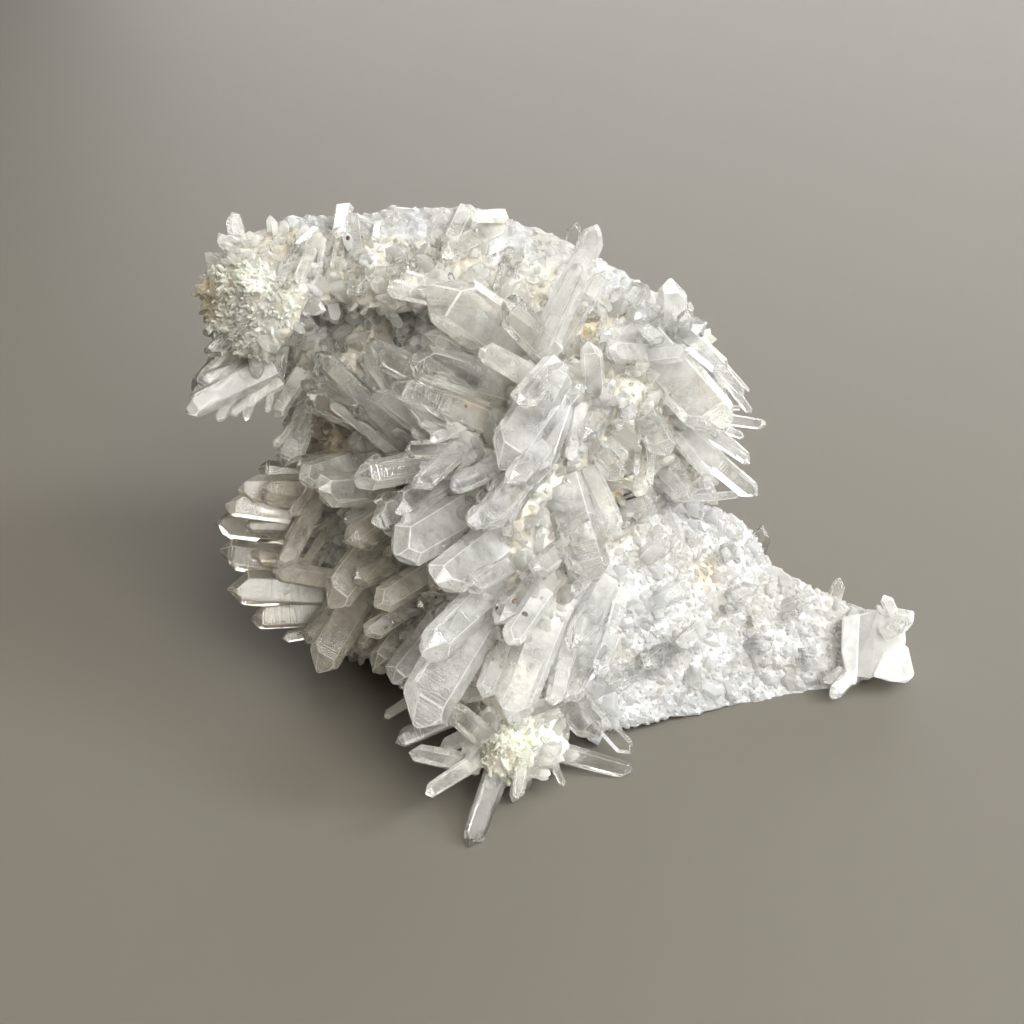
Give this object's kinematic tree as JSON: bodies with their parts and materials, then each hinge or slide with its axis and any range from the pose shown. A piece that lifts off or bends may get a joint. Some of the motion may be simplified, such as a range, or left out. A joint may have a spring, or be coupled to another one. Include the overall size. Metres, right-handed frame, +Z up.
{
  "type": "quartz crystal cluster",
  "caption": "Cluster of clear hexagonal quartz points in fans on a milky drusy matrix with an overhanging arm and a low drusy wing; a display specimen that stands free.",
  "frame": {"origin": "centre of the specimen's box, at the level of the surface that it stands on", "axes": "+X to the right and +Y away from someone who faces the fans of points, +Z up"},
  "size_m": [0.1155, 0.1045, 0.0711],
  "materials": {
    "quartz": "vitreous, clear at the tips and milky at the roots"
  },
  "bodies": {
    "root": {"quartz_cluster": "quartz"}
  },
  "joints": []
}
